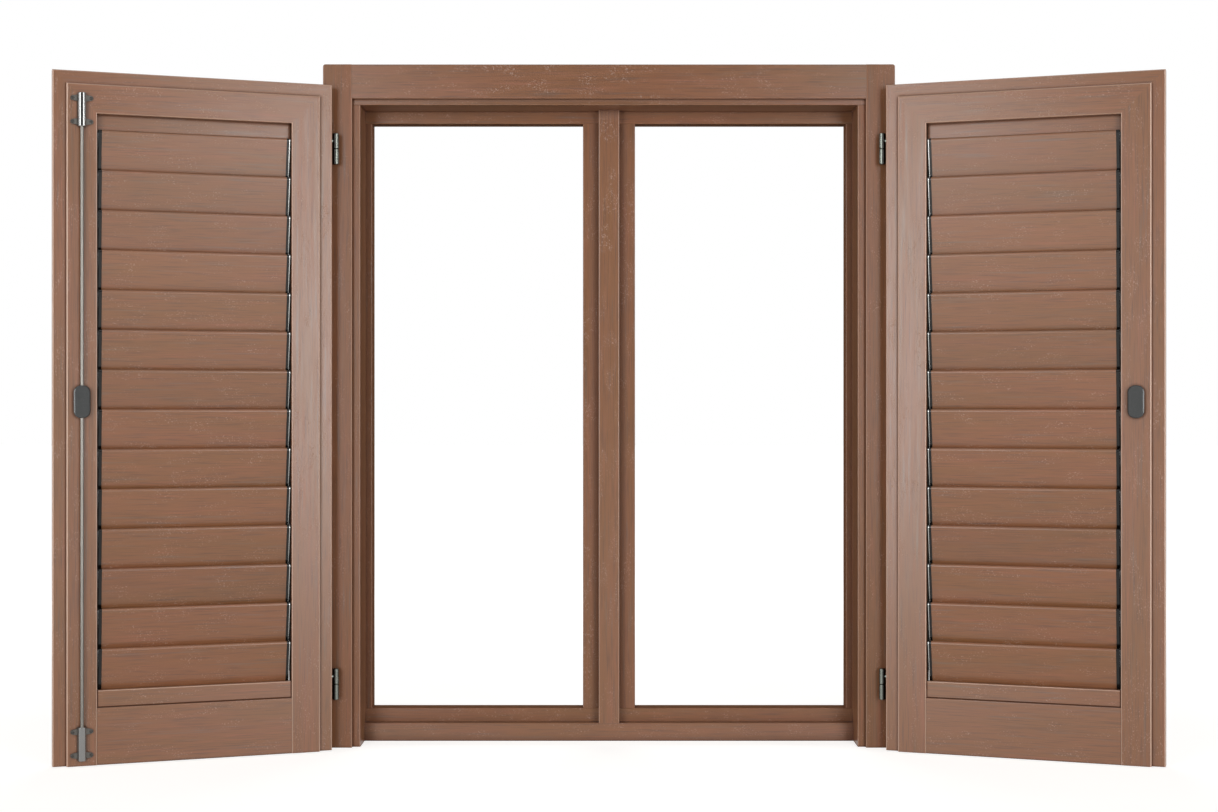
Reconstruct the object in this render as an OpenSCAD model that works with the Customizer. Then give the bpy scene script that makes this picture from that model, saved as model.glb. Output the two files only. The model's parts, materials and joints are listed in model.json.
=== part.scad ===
// Pair of louvred shutters on their window frame, leaves swung open.
// Millimetres, +Z up, +Y into the wall. The origin is under the middle of the bottom rail.

/* [Casing] */
// Overall width of the casing
frame_w = 1200; // [1000:1:1600]
// Overall height of the casing
frame_h = 1433; // [1100:1:2000]
// Width of the casing's front band at each side
casing_band_w = 61; // [50:1:90]
// Height of the casing's front band at the head
casing_head_h = 72; // [56:1:110]
// Width of the stop beside the opening
side_stop_w = 16; // [8:1:24]
// Height of the stop under the head
head_stop_h = 12; // [8:1:24]
// How far the stop lies behind the front band
stop_depth = 10.5; // [8:0.5:16]
// Depth of the casing, from front band to window frame
casing_d = 80; // [65:1:140]
// Radius of the casing's two top corners
casing_corner_r = 5.5; // [1:0.5:10]
// Radius along the casing's front edges
casing_edge_r = 2; // [0.5:0.5:4]

/* [Window frame] */
// Depth of the window frame behind the casing
window_d = 76; // [70:1:110]
// Width of each side post
window_post_w = 50; // [42:1:58]
// Height of the window frame's head
window_head_h = 60; // [30:1:80]
// Height of the bottom rail
bottom_rail_h = 38; // [28:1:70]
// Width of the mullion between the lights
mullion_w = 44; // [34:1:80]
// How far the light frames lie behind the mullion's face
light_setback = 28; // [10:1:34]
// Thickness of the light frames
light_d = 42; // [24:1:42]
// Full width of a light frame's members
light_frame_w = 47; // [44:1:52]
// Width of light frame that shows beside the post
light_show_side = 13; // [10:1:30]
// Width of light frame that shows beside the mullion
light_show_mullion = 34; // [32:1:42]
// Height of light frame that shows under the head
light_show_head = 25; // [20:1:40]
// Height of light frame that shows over the bottom rail
light_show_bottom = 28; // [20:1:40]
// Play of the light frames in their rebates
light_play = 0.3; // [0.1:0.1:0.6]
// Seam where a light frame's members meet
light_seam = 0.05; // [0.05:0.05:0.3]
// Radius along the window frame's front edges
window_edge_r = 2; // [0.5:0.5:4]

/* [Leaves] */
// Angle by which the leaves stand open
leaf_open = 160.5; // [0:0.5:178]
// Distance of the hinge pin outside the casing's opening
pin_out = 31.8; // [28:0.1:40]
// Distance of the hinge pin in front of the casing
pin_stand = 16; // [14:0.5:20]
// Distance from the hinge pin to the leaf's edge
pin_edge_gap = 10.5; // [9:0.1:14]
// Half the gap between the shut leaves
meeting_gap = 1.2; // [1:0.1:4]
// Gap between the casing and the lip of a shut leaf
seat_gap = 1; // [0.5:0.1:2]
// Play between the raised panel and the casing's sides
panel_clear = 5; // [3:0.1:10]
// Play between the raised panel and the casing's head
head_clear = 3; // [2:0.1:10]
// Play between the raised panel and the stop
stop_clear = 2.5; // [1:0.1:4]
// Gap under the leaves
leaf_foot = 1; // [0.5:0.5:10]
// Thickness of the leaf at its lip
lip_t = 26; // [22:0.5:34]
// Face width of the stiles and the top rail
stile_w = 59; // [48:1:90]
// Height of the leaf's bottom rail
kick_h = 114.2; // [60:0.1:180]
// Height of the filler above the slats
top_filler_h = 33.8; // [16:0.2:50]
// Height of the filler below the slats
bottom_filler_h = 34.2; // [24:0.2:60]
// Thickness of both fillers
filler_t = 12.5; // [8:0.5:14]
// Radius along the lip's edges
lip_edge_r = 2.5; // [0.5:0.5:5]
// Radius along the raised panel's outer edges
panel_edge_r = 3; // [0.5:0.5:5]
// Radius along the edges of the slat opening
opening_edge_r = 2; // [0.5:0.5:4]

/* [Slats] */
// Tilt of the slats from upright
slat_tilt = 13; // [11:0.5:30]
// Thickness of a slat
slat_t = 10; // [8:0.5:11]
// How much taller a slat is than the pitch of the row
slat_lap = 8; // [4:0.5:10]
// Thickness of a slat's end cap
cap_t = 6.5; // [4:0.5:12]
// Gap between end cap and stile
end_gap = 3; // [2.8:0.1:5]
// Seam between slat and end cap
cap_seam = 0.1; // [0.05:0.05:0.3]
// Radius of the tenon that holds the cap in the slat
tenon_r = 2.5; // [1.5:0.5:3]
// Length of that tenon
tenon_l = 24; // [10:1:40]
// Radius of the slat's pivot pins
pivot_r = 3; // [2:0.25:4]
// Running play of pins in their holes
pin_play = 0.05; // [0.02:0.01:0.1]
// Thickness of the pivot strips
strip_t = 8; // [5:0.5:14]
// Width of the pivot strips
strip_w = 12; // [10:0.5:16]
// Width of the lip on a pivot strip that closes the gap beside the end caps
seal_w = 2.5; // [1.5:0.1:2.8]
// Play between that lip and the end caps
seal_gap = 0.8; // [0.5:0.1:1.5]
// Distance of the crank pin from the pivot
crank_arm = 12; // [10:0.5:16]
// Radius of the crank pins
crank_r = 2; // [1:0.25:2.5]
// Thickness of the tie bar
tie_t = 1.6; // [1:0.1:2]
// Width of the tie bar
tie_w = 6; // [4:0.5:8]
// Reach of the tie bar's tabs to the crank pins
tie_reach = 8; // [7:0.5:10]

/* [Hinges] */
// Height of a hinge barrel
hinge_h = 65; // [50:1:100]
// Radius of the barrel
barrel_r = 7; // [6:0.25:8]
// Radius of the hinge pin
hinge_pin_r = 4; // [2.5:0.25:4.5]
// Radius of the stems in the wood
stem_r = 3.5; // [2.5:0.25:4]
// Depth of the stems in the wood
stem_depth = 34; // [20:1:40]
// Gap between the two knuckles of a hinge
knuckle_gap = 0.3; // [0.2:0.1:1]
// Thickness of the wall that closes the upper knuckle
knuckle_cap = 3; // [2:0.5:6]
// Bevel at the barrel's ends
barrel_bevel = 1.2; // [0.4:0.1:2]
// Middle of the upper hinge below the leaf's top
hinge_from_top = 131; // [110:1:300]
// Middle of the lower hinge above the leaf's foot
hinge_from_foot = 135; // [110:1:300]

/* [Bolt and grips] */
// Radius of the bolt rod
rod_r = 3.5; // [2.5:0.25:4]
// Distance of the rod's axis from the panel's face
rod_stand = 8.7; // [8.5:0.1:10]
// Gap from the rod's top to the panel's top
rod_top_gap = 20; // [12:0.2:40]
// Gap from the rod's foot to the leaf's foot
rod_foot_gap = 11.8; // [6:0.2:40]
// Length of a rod guide
guide_l = 67; // [40:1:90]
// Width of a rod guide's base plate
guide_w = 17; // [16:0.5:26]
// Thickness of the base plate and its ears
guide_t = 3; // [1.5:0.5:5]
// Width of the bridge that wraps the rod
bridge_w = 15; // [12:0.5:16]
// Height of the bridge over the rod's axis
bridge_over = 6; // [5:0.25:8]
// Radius along the bridge's front edges
bridge_edge_r = 5; // [2:0.25:6]
// Width across a guide's fixing ears
ear_span = 44; // [36:1:52]
// Height of an ear where it leaves the base plate
ear_root_h = 12.5; // [10:0.5:20]
// Radius of an ear's round tip
ear_tip_r = 4; // [3.5:0.25:5]
// Radius of an ear's screw hole
ear_hole_r = 1.8; // [1:0.1:2.4]
// Distance from a guide's end to the middle of its ears
ear_inset = 10; // [10:0.5:18]
// Length of the grips
grip_l = 65; // [40:1:90]
// Width of the grips
grip_w = 32; // [24:0.5:40]
// Height of the grips over the panel
grip_h = 14; // [13.5:0.1:20]
// Corner radius of the grips
grip_corner_r = 14; // [4:0.5:15]
// Bevel round the grips' faces
grip_bevel = 2; // [0.5:0.25:3]
// Middle of the grips above the leaf's foot
grip_rise = 724; // [400:1:1000]
// Gap under the sliding grip
grip_gap = 0.3; // [0.2:0.1:0.6]
// Travel of the bolt rod
bolt_throw = 25; // [14:1:30]
// Play round the rod in its keeper hole
keeper_play = 1; // [0.5:0.1:1.5]

/* [Wall fixing] */
// Radius of the fixing holes in the casing's back
fixing_r = 4; // [2.5:0.25:5]
// Depth of the fixing holes
fixing_depth = 40; // [20:1:50]
// Distance of the fixing holes from the casing's outer edge
fixing_inset = 13; // [8:0.5:14]
// Distance from one fixing hole up to the next
fixing_pitch = 900; // [400:10:1000]

/* [Hidden] */
SIDES = ["left", "right"];
SLAT_COUNT = 14;
LEAF_PIECES = ["hinge_stile", "meeting_stile", "top_rail", "bottom_rail", "top_filler",
               "bottom_filler", "pivot_strips", "hinge_knuckles", "tie_bar"];
function slat_name(side, i) = str(side, "_slat_", i < 9 ? "0" : "", i + 1);

// Facets of round shapes, and how far a cut runs past the surface that it opens
$fn = 48;
cut = 1;

// Colours of the materials
wood = "#8a6350";
wood_dark = "#7c5644";
black_plastic = "#26221d";
steel = "#b4b0a8";
dark_metal = "#555555";

// Depths, from the casing's front to the window frame's back
front_y = -casing_d - window_d / 2;
stop_y = front_y + stop_depth;
window_y = front_y + casing_d;
light_y = window_y + light_setback;

// Openings: in the front band, in the stop, and the visible lights
open_x = frame_w / 2 - casing_band_w;
open_z = frame_h - casing_head_h;
reveal_x = open_x - side_stop_w;
reveal_z = open_z - head_stop_h;
mullion_x = mullion_w / 2;

// Hinge pin of the left leaf, and the leaf's own sizes, measured from that pin:
// p along the shut leaf, q towards the room
pin_x = open_x + pin_out;
pin_y = front_y - pin_stand;
lip_w = pin_out - pin_edge_gap + panel_clear;
member_w = lip_w + stile_w;
leaf_w = pin_x - pin_edge_gap - meeting_gap;
leaf_p0 = pin_edge_gap;
leaf_p1 = leaf_p0 + leaf_w;
panel_top = open_z - head_clear;
leaf_top = panel_top + lip_w;
leaf_h = leaf_top - leaf_foot;
lip_q = pin_stand - seat_gap;
outer_q = lip_q - lip_t;
panel_q = lip_q + stop_depth + seat_gap - stop_clear;
leaf_t = panel_q - outer_q;
inner_p0 = leaf_p0 + member_w;
inner_p1 = leaf_p1 - member_w;
inner_w = inner_p1 - inner_p0;
inner_top = leaf_top - member_w;
inner_foot = leaf_foot + kick_h;

// Row of slats
row_foot = inner_foot + bottom_filler_h;
row_top = inner_top - top_filler_h;
slat_pitch = (row_top - row_foot) / SLAT_COUNT;
slat_chord = slat_pitch + slat_lap;
slat_q = (panel_q + outer_q) / 2;
filler_clear = 2;
function slat_z(i) = row_foot + slat_pitch * (i + 0.5);

// Crank pins lie on the slat's chord, below the pivot, and the tie bar runs beside them
crank_q = slat_q - crank_arm * sin(slat_tilt);
crank_drop = crank_arm * cos(slat_tilt);
tie_q = crank_q - tie_reach;
tie_end = crank_r * 4;

// Hinges, bolt and wall fixing
knuckle_h = (hinge_h - knuckle_gap) / 2;
stem_rise = (knuckle_h + knuckle_gap) / 2;
hinge_zs = [leaf_foot + hinge_from_foot, leaf_top - hinge_from_top];
bolt_p = leaf_p1 - lip_w - stile_w / 2;
rod_q = panel_q + rod_stand;
rod_top = panel_top - rod_top_gap;
rod_foot = leaf_foot + rod_foot_gap;
grip_z = leaf_foot + grip_rise;
ear_tip_x = ear_span / 2 - ear_tip_r;
fixing_zs = [(frame_h - fixing_pitch) / 2, (frame_h + fixing_pitch) / 2];
keeper_r = rod_r + keeper_play;
keeper_depth = rod_top + bolt_throw - reveal_z + keeper_play;

// Shared shapes

// Rounds off the corner (x, y) of an outline whose material lies towards (sx, sy)
module corner_cut(x, y, sx, sy, r) {
    difference() {
        translate([sx > 0 ? x - cut : x - r, sy > 0 ? y - cut : y - r])
            square(r + cut);
        translate([x + sx * r, y + sy * r])
            circle(r);
    }
}

// Outline with straight sides and round ends, along x
module round_bar(length, width) {
    square([length - width, width], center = true);
    for (end = [-1, 1])
        translate([end * (length - width) / 2, 0])
            circle(d = width);
}

// Carries an outline along +X from p: its x runs down from height z, its y is the depth
module lay_along(p, z, length) {
    translate([p, 0, z])
        rotate([0, 90, 0])
            linear_extrude(length)
                children();
}

// Extrudes an outline drawn as (x, z) through the whole depth of a leaf
module through_leaf() {
    translate([0, panel_q + cut, 0])
        rotate([90, 0, 0])
            linear_extrude(leaf_t + 2 * cut)
                children();
}

// Round bar along +X, at depth y and height z
module pin_along(p, y, z, r, length) {
    translate([p, y, z])
        rotate([0, 90, 0])
            cylinder(r = r, h = length);
}

module mirrored(side) {
    if (side == "right")
        mirror([1, 0, 0]) children();
    else
        children();
}

// Places a shut leaf's pieces on the left or the right hinge, swung open
module on_leaf(side) {
    mirrored(side)
        translate([-pin_x, pin_y, 0])
            rotate([0, 0, -leaf_open])
                children();
}

// Casing

module casing_jamb_outline() {
    difference() {
        translate([-frame_w / 2, 0])
            square([casing_band_w, frame_h]);
        corner_cut(-frame_w / 2, frame_h, 1, -1, casing_corner_r);
    }
}

module casing_jamb_section() {
    difference() {
        translate([-frame_w / 2, front_y])
            square([casing_band_w, casing_d]);
        corner_cut(-frame_w / 2, front_y, 1, 1, casing_edge_r);
        corner_cut(-open_x, front_y, -1, 1, casing_edge_r);
    }
    difference() {
        translate([-open_x - cut, stop_y])
            square([side_stop_w + cut, casing_d - stop_depth]);
        corner_cut(-reveal_x, stop_y, -1, 1, casing_edge_r);
    }
}

module casing_jamb(side) {
    color(wood)
        mirrored(side)
            difference() {
                intersection() {
                    linear_extrude(frame_h)
                        casing_jamb_section();
                    translate([0, window_y, 0])
                        rotate([90, 0, 0])
                            linear_extrude(casing_d)
                                union() {
                                    casing_jamb_outline();
                                    translate([-open_x - cut, 0])
                                        square([side_stop_w + cut, reveal_z]);
                                }
                }
                for (z = hinge_zs)
                    translate([-pin_x, front_y - cut, z - stem_rise])
                        rotate([-90, 0, 0])
                            cylinder(r = stem_r + pin_play, h = stem_depth + cut);
                for (z = fixing_zs)
                    translate([fixing_inset - frame_w / 2, window_y + cut, z])
                        rotate([90, 0, 0])
                            cylinder(r = fixing_r, h = fixing_depth + cut);
            }
}

module casing_head_section() {
    difference() {
        translate([0, front_y])
            square([casing_head_h, casing_d]);
        corner_cut(0, front_y, 1, 1, casing_edge_r);
        corner_cut(casing_head_h, front_y, -1, 1, casing_edge_r);
    }
    difference() {
        translate([casing_head_h - cut, stop_y])
            square([head_stop_h + cut, casing_d - stop_depth]);
        corner_cut(casing_head_h + head_stop_h, stop_y, -1, 1, casing_edge_r);
    }
}

module casing_head() {
    color(wood)
        difference() {
            lay_along(-open_x, frame_h, 2 * open_x)
                casing_head_section();
            translate([bolt_p - pin_x, pin_y + rod_q, reveal_z - cut])
                cylinder(r = keeper_r, h = keeper_depth + cut);
        }
}

// Window frame

module window_posts() {
    rebate = light_frame_w - light_show_side + light_play;
    rebate_foot = bottom_rail_h - rail_rebate();
    rebate_top = reveal_z + head_rebate();
    color(wood_dark)
        for (side = SIDES)
            mirrored(side)
                difference() {
                    translate([-reveal_x - window_post_w, window_y, 0])
                        cube([window_post_w, window_d, reveal_z + window_head_h]);
                    translate([-reveal_x - rebate, light_y - light_play, rebate_foot])
                        cube([rebate + cut, window_d, rebate_top - rebate_foot]);
                }
}

function head_rebate() = light_frame_w - light_show_head + light_play;
function rail_rebate() = light_frame_w - light_show_bottom + light_play;

module window_head() {
    color(wood_dark)
        difference() {
            translate([-reveal_x, window_y, reveal_z])
                cube([2 * reveal_x, window_d, window_head_h]);
            translate([-reveal_x - cut, light_y - light_play, reveal_z - cut])
                cube([2 * reveal_x + 2 * cut, window_d, head_rebate() + cut]);
        }
}

module window_bottom_rail() {
    color(wood_dark)
        difference() {
            lay_along(-reveal_x, bottom_rail_h, 2 * reveal_x)
                difference() {
                    translate([0, window_y])
                        square([bottom_rail_h, window_d]);
                    corner_cut(bottom_rail_h, window_y, -1, 1, window_edge_r);
                }
            translate([-reveal_x - cut, light_y - light_play, bottom_rail_h - rail_rebate()])
                cube([2 * reveal_x + 2 * cut, window_d, rail_rebate() + cut]);
        }
}

module mullion() {
    rebate = light_frame_w - light_show_mullion + light_play;
    tongue_x = mullion_x - rebate;
    color(wood_dark) {
        translate([0, 0, bottom_rail_h])
            linear_extrude(reveal_z - bottom_rail_h)
                difference() {
                    translate([-mullion_x, window_y])
                        square([mullion_w, light_setback - light_play]);
                    for (s = [-1, 1])
                        corner_cut(s * mullion_x, window_y, -s, 1, window_edge_r);
                }
        translate([-tongue_x, light_y - light_play - cut, bottom_rail_h])
            cube([2 * tongue_x, window_d - light_setback + light_play + cut, reveal_z - bottom_rail_h]);
    }
}

// Outline of a light frame's member: x across from its light, y the depth
module light_section() {
    difference() {
        translate([0, light_y])
            square([light_frame_w, light_d]);
        corner_cut(0, light_y, 1, 1, window_edge_r);
    }
}

module light_frame(side) {
    light_x0 = -reveal_x + light_show_side;
    light_x1 = -mullion_x - light_show_mullion;
    light_z0 = bottom_rail_h + light_show_bottom;
    light_z1 = reveal_z - light_show_head;
    upright_z0 = light_z0 + light_seam;
    upright_h = light_z1 - light_z0 - 2 * light_seam;
    rail_x0 = light_x0 - light_frame_w;
    rail_l = light_x1 - light_x0 + 2 * light_frame_w;
    color(wood)
        mirrored(side) {
            translate([light_x0, 0, upright_z0])
                linear_extrude(upright_h)
                    mirror([1, 0]) light_section();
            translate([light_x1, 0, upright_z0])
                linear_extrude(upright_h)
                    light_section();
            lay_along(rail_x0, light_z0, rail_l)
                light_section();
            lay_along(rail_x0, light_z1, rail_l)
                mirror([1, 0]) light_section();
        }
}

// Leaves

// Outline of a leaf's outer member: x from the lip's edge inwards, y the depth
module member_section() {
    difference() {
        union() {
            translate([0, outer_q])
                square([lip_w + cut, lip_t]);
            translate([lip_w, outer_q])
                square([stile_w, leaf_t]);
        }
        corner_cut(0, outer_q, 1, 1, lip_edge_r);
        corner_cut(0, lip_q, 1, -1, lip_edge_r);
        corner_cut(lip_w, panel_q, 1, -1, panel_edge_r);
        corner_cut(member_w, panel_q, -1, -1, opening_edge_r);
        corner_cut(member_w, outer_q, -1, 1, opening_edge_r);
    }
}

// One stile from its lip edge at x = 0, mitred at the top, with the groove for its pivot strip
module stile() {
    difference() {
        intersection() {
            translate([0, 0, leaf_foot])
                linear_extrude(leaf_h)
                    member_section();
            through_leaf()
                polygon([[-cut, leaf_foot], [member_w + cut, leaf_foot], [member_w + cut, inner_top - cut],
                         [-cut, leaf_top + cut]]);
        }
        translate([member_w - strip_t, slat_q - strip_w / 2, inner_foot])
            cube([strip_t + cut, strip_w, inner_top - inner_foot]);
    }
}

module hinge_stile(side) {
    color(wood)
        on_leaf(side)
            translate([leaf_p0, 0, 0])
                difference() {
                    stile();
                    for (z = hinge_zs)
                        pin_along(-cut, 0, z + stem_rise, stem_r + pin_play, stem_depth + cut);
                }
}

module meeting_stile(side) {
    color(wood)
        on_leaf(side)
            translate([leaf_p1, 0, 0])
                mirror([1, 0, 0])
                    stile();
}

module top_rail(side) {
    color(wood)
        on_leaf(side)
            intersection() {
                lay_along(leaf_p0, leaf_top, leaf_w)
                    member_section();
                through_leaf()
                    polygon([[leaf_p0 - cut, leaf_top + cut], [leaf_p1 + cut, leaf_top + cut],
                             [inner_p1 - cut, inner_top - cut], [inner_p0 + cut, inner_top - cut]]);
            }
}

module bottom_rail(side) {
    color(wood)
        on_leaf(side)
            lay_along(inner_p0, inner_foot, inner_w)
                difference() {
                    translate([0, outer_q])
                        square([kick_h, leaf_t]);
                    corner_cut(0, panel_q, 1, -1, opening_edge_r);
                    corner_cut(0, outer_q, 1, 1, opening_edge_r);
                    corner_cut(kick_h, panel_q, -1, -1, opening_edge_r);
                    corner_cut(kick_h, outer_q, -1, 1, opening_edge_r);
                }
}

// The top filler lies behind the first slat's edge, the bottom filler in front of the last one's
module top_filler(side) {
    color(wood)
        on_leaf(side)
            lay_along(inner_p0, inner_top, inner_w)
                difference() {
                    translate([0, slat_q - filler_clear - filler_t])
                        square([top_filler_h, filler_t]);
                    corner_cut(top_filler_h, slat_q - filler_clear, -1, -1, opening_edge_r);
                }
}

module bottom_filler(side) {
    color(wood)
        on_leaf(side)
            lay_along(inner_p0, row_foot, inner_w)
                difference() {
                    translate([0, slat_q + filler_clear])
                        square([bottom_filler_h, filler_t]);
                    corner_cut(0, slat_q + filler_clear + filler_t, 1, -1, opening_edge_r);
                    corner_cut(bottom_filler_h, slat_q + filler_clear + filler_t, -1, -1, opening_edge_r);
                }
}

// One pivot strip, let into the stile along -x from its edge at x = 0, with its lip along +x
module pivot_strip() {
    difference() {
        translate([-strip_t, slat_q - strip_w / 2, inner_foot])
            cube([strip_t, strip_w, inner_top - inner_foot]);
        for (i = [0 : SLAT_COUNT - 1])
            pin_along(-strip_t - cut, slat_q, slat_z(i), pivot_r + pin_play, strip_t + 2 * cut);
    }
    translate([-cut, slat_q + strip_w / 2 - seal_w, row_foot + seal_gap])
        cube([cut + end_gap - seal_gap, seal_w, row_top - row_foot - seal_gap]);
}

module pivot_strips(side) {
    color(black_plastic)
        on_leaf(side) {
            translate([inner_p0, 0, 0])
                pivot_strip();
            translate([inner_p1, 0, 0])
                mirror([1, 0, 0])
                    pivot_strip();
        }
}

// Slats and their tie bar

module slat_outline() {
    round_bar(slat_chord, slat_t);
}

// End cap with its tenon and pivot pin, its face against the slat at x = 0, outwards along -x
module end_cap() {
    rotate([0, -90, 0])
        linear_extrude(cap_t)
            slat_outline();
    pin_along(-cut, 0, 0, tenon_r, tenon_l + cut);
    pin_along(-cap_t - end_gap - strip_t + cap_seam, 0, 0, pivot_r, end_gap + strip_t + cut);
}

module slat(side, i) {
    wood_p = end_gap + cap_t + cap_seam;
    wood_l = inner_w - 2 * wood_p;
    on_leaf(side)
        translate([inner_p0, slat_q, slat_z(i)])
            rotate([-slat_tilt, 0, 0]) {
                color(wood)
                    difference() {
                        lay_along(wood_p, 0, wood_l)
                            slat_outline();
                        for (p = [wood_p - cut, wood_p + wood_l - tenon_l - cap_seam])
                            pin_along(p, 0, 0, tenon_r + pin_play, tenon_l + cap_seam + cut);
                    }
                color(black_plastic) {
                    translate([wood_p - cap_seam, 0, 0]) {
                        end_cap();
                        pin_along(-cap_t - end_gap + cap_seam, 0, -crank_arm, crank_r, end_gap + cut);
                    }
                    translate([inner_w - wood_p + cap_seam, 0, 0])
                        mirror([1, 0, 0])
                            end_cap();
                }
            }
}

// Flat bar in the gap beside the caps, with one tab a slat that takes its crank pin
module tie_bar(side) {
    bar_foot = slat_z(0) - crank_drop - tie_end;
    bar_top = slat_z(SLAT_COUNT - 1) - crank_drop + tie_end;
    color(steel)
        on_leaf(side)
            translate([inner_p0 + (end_gap - tie_t) / 2, 0, 0])
                rotate([90, 0, 90])
                    linear_extrude(tie_t)
                        difference() {
                            union() {
                                translate([tie_q - tie_w / 2, bar_foot])
                                    square([tie_w, bar_top - bar_foot]);
                                for (i = [0 : SLAT_COUNT - 1])
                                    translate([crank_q, slat_z(i) - crank_drop]) {
                                        circle(2 * crank_r);
                                        translate([-tie_reach, -2 * crank_r])
                                            square([tie_reach, 4 * crank_r]);
                                    }
                            }
                            for (i = [0 : SLAT_COUNT - 1])
                                translate([crank_q, slat_z(i) - crank_drop])
                                    circle(crank_r + pin_play);
                        }
}

// Hinges

// Barrel with a bevel at both ends, standing on z = 0
module barrel(height) {
    cylinder(r1 = barrel_r - barrel_bevel, r2 = barrel_r, h = barrel_bevel);
    translate([0, 0, barrel_bevel])
        cylinder(r = barrel_r, h = height - 2 * barrel_bevel);
    translate([0, 0, height - barrel_bevel])
        cylinder(r1 = barrel_r, r2 = barrel_r - barrel_bevel, h = barrel_bevel);
}

// Lower half of each hinge: knuckle, pin, and stem into the casing
module hinge_posts() {
    color(dark_metal)
        for (side = SIDES)
            mirrored(side)
                for (z = hinge_zs)
                    translate([-pin_x, pin_y, z - hinge_h / 2]) {
                        barrel(knuckle_h);
                        cylinder(r = hinge_pin_r, h = hinge_h - knuckle_cap - knuckle_gap);
                        translate([0, 0, knuckle_h / 2])
                            rotate([-90, 0, 0])
                                cylinder(r = stem_r, h = pin_stand + stem_depth - pin_play);
                    }
}

// Upper half of each hinge: bored knuckle, and stem into the leaf's edge
module hinge_knuckles(side) {
    color(dark_metal)
        on_leaf(side)
            for (z = hinge_zs)
                translate([0, 0, z + knuckle_gap / 2])
                    difference() {
                        union() {
                            barrel(knuckle_h);
                            pin_along(0, 0, knuckle_h / 2, stem_r, pin_edge_gap + stem_depth - pin_play);
                        }
                        translate([0, 0, -cut])
                            cylinder(r = hinge_pin_r + pin_play, h = knuckle_h - knuckle_cap + cut);
                    }
}

// Bolt and grips

// Across a guide: base plate, and the bridge round the rod
module guide_section() {
    translate([-guide_w / 2, 0])
        square([guide_w, guide_t]);
    difference() {
        translate([-bridge_w / 2, 0])
            square([bridge_w, rod_stand + bridge_over]);
        for (s = [-1, 1])
            corner_cut(s * bridge_w / 2, rod_stand + bridge_over, -s, -1, bridge_edge_r);
    }
}

// A pair of tapered ears with round tips, seen from the front
module ear_outline() {
    for (s = [-1, 1]) {
        polygon([[0, -ear_root_h / 2], [s * guide_w / 2, -ear_root_h / 2], [s * ear_tip_x, -ear_tip_r],
                 [s * ear_tip_x, ear_tip_r], [s * guide_w / 2, ear_root_h / 2], [0, ear_root_h / 2]]);
        translate([s * ear_tip_x, 0])
            circle(ear_tip_r);
    }
}

module rod_guide() {
    difference() {
        union() {
            linear_extrude(guide_l)
                guide_section();
            for (z = [ear_inset, guide_l - ear_inset])
                translate([0, guide_t, z])
                    rotate([90, 0, 0])
                        linear_extrude(guide_t)
                            ear_outline();
        }
        translate([0, rod_stand, -cut])
            cylinder(r = rod_r + pin_play, h = guide_l + 2 * cut);
        for (z = [ear_inset, guide_l - ear_inset])
            for (s = [-1, 1])
                translate([s * ear_tip_x, guide_t + cut, z])
                    rotate([90, 0, 0])
                        cylinder(r = ear_hole_r, h = guide_t + 2 * cut);
    }
}

module rod_guides() {
    color(dark_metal)
        on_leaf("left")
            for (z = [rod_foot, rod_top - guide_l])
                translate([bolt_p, panel_q, z])
                    rod_guide();
}

module bolt_rod() {
    color(steel)
        on_leaf("left")
            translate([bolt_p, rod_q, rod_foot])
                cylinder(r = rod_r, h = rod_top - rod_foot);
}

module grip_outline(inset) {
    half_w = grip_w / 2 - inset;
    half_l = grip_l / 2 - inset;
    difference() {
        square([2 * half_w, 2 * half_l], center = true);
        for (sx = [-1, 1])
            for (sy = [-1, 1])
                corner_cut(sx * half_w, sy * half_l, -sx, -sy, grip_corner_r - inset);
    }
}

// Oblong grip with bevelled face, from depth base over the panel
module grip(base) {
    translate([0, grip_h, 0])
        rotate([90, 0, 0]) {
            hull() {
                linear_extrude(grip_bevel / 2)
                    grip_outline(grip_bevel);
                translate([0, 0, grip_bevel])
                    linear_extrude(grip_bevel / 2)
                        grip_outline(0);
            }
            translate([0, 0, grip_bevel])
                linear_extrude(grip_h - grip_bevel - base)
                    grip_outline(0);
        }
}

module bolt_grip() {
    color(dark_metal)
        on_leaf("left")
            translate([bolt_p, panel_q, grip_z])
                difference() {
                    grip(grip_gap);
                    translate([0, rod_stand, -grip_l])
                        cylinder(r = rod_r + pin_play, h = 2 * grip_l);
                }
}

module fixed_grip() {
    color(dark_metal)
        on_leaf("right")
            translate([bolt_p, panel_q, grip_z])
                grip(0);
}

// Nodes

casing_head();
casing_jamb("left");  // casing_jamb_left
casing_jamb("right");  // casing_jamb_right
window_head();
window_posts();
window_bottom_rail();
mullion();
light_frame("left");  // left_light_frame
light_frame("right");  // right_light_frame
hinge_posts();
rod_guides();
bolt_rod();
bolt_grip();
fixed_grip();
for (side = SIDES) {
    hinge_stile(side);
    meeting_stile(side);
    top_rail(side);
    bottom_rail(side);
    top_filler(side);
    bottom_filler(side);
    pivot_strips(side);
    hinge_knuckles(side);
    tie_bar(side);
    for (i = [0 : SLAT_COUNT - 1])
        slat(side, i);
}
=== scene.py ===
# %% [markdown]
# # Louvred shutters on their window frame
#
# The object is a pair of shutter leaves, swung open on a stepped casing, with a mullioned window frame
# behind. The solids come in as a fixed frame with their real sizes and joints. This lesson gives every
# surface its finish, and models what needs softer edges or two finishes: slats with their end caps and
# crank plates, grips, rod guides, screws and packing blocks.

# %% Load the solids
import json
import math

import bpy
from mathutils import Matrix, Vector

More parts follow.
